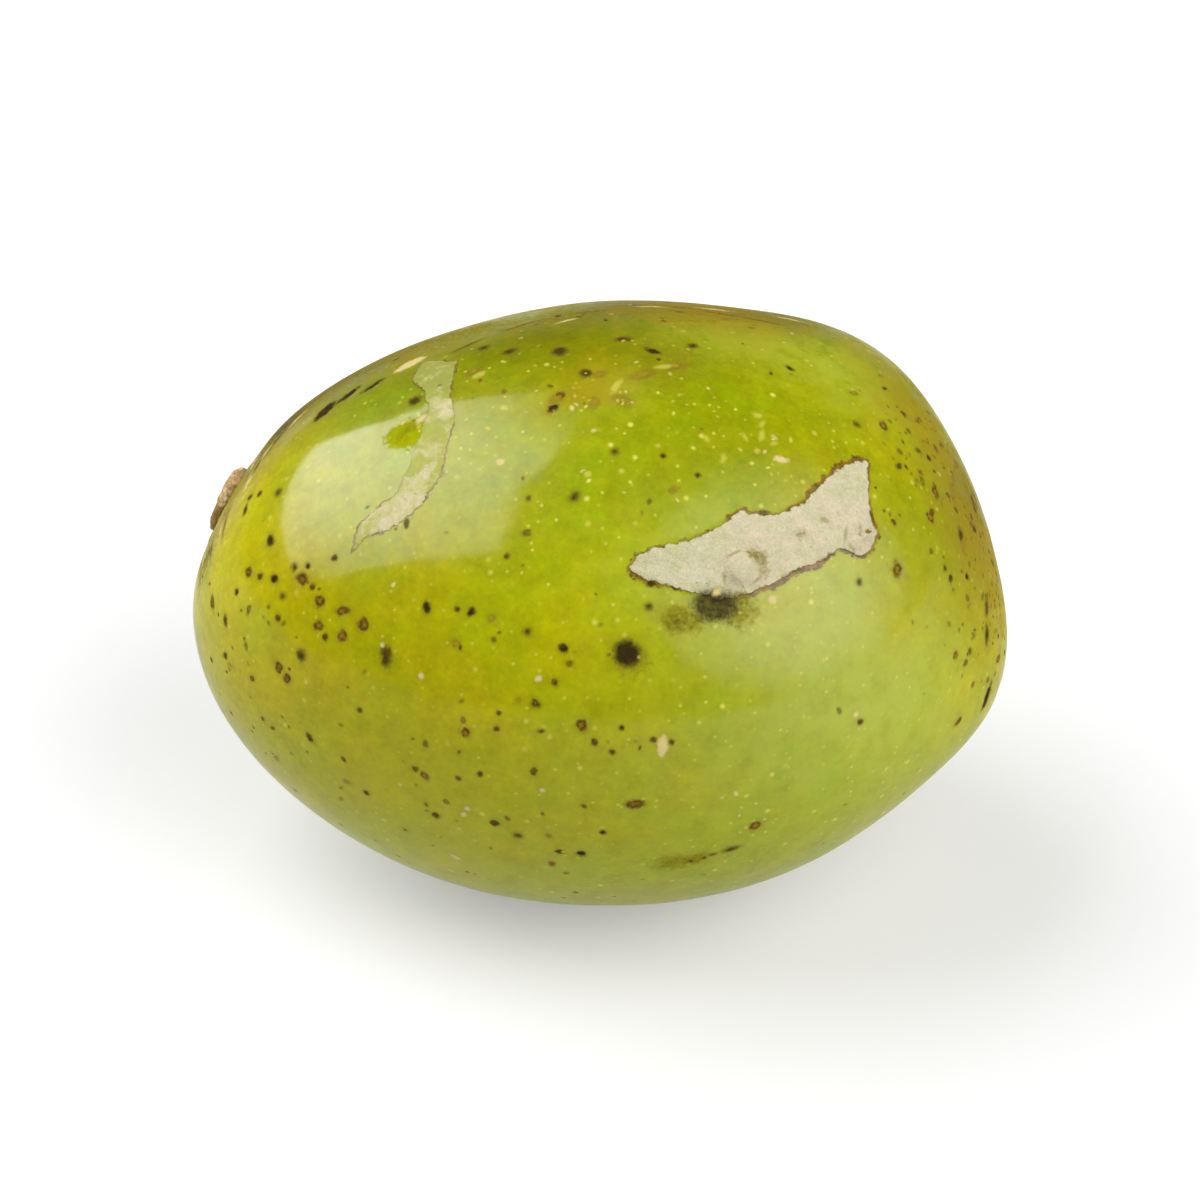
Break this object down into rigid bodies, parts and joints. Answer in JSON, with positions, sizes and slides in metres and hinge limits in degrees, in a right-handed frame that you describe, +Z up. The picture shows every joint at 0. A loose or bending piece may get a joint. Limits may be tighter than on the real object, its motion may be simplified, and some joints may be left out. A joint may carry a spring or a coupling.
{
  "type": "june plum",
  "caption": "Whole unripe june plum lying on its side: a lopsided oblong green fruit with corky scars, dark specks and the corky stump of its stalk.",
  "frame": {"origin": "middle of the small flat spot on the belly that the fruit rests on, straight under its centre of mass", "axes": "+Z up, away from the surface it lies on; +X along the fruit towards its tip, so the stalk's stump is at the -X end; +Y away from the side with the large corky scar"},
  "size_m": [0.0801, 0.0606, 0.0581],
  "materials": {
    "skin": "waxy yellow-green skin, glossy, with pale pinprick dots, dark brown specks and dull papery grey-tan corky scars",
    "cork": "dry, rough, tan to golden-brown cork with a darker edge"
  },
  "bodies": {
    "root": {"fruit": "skin", "stalk_stump": "cork"}
  },
  "joints": []
}
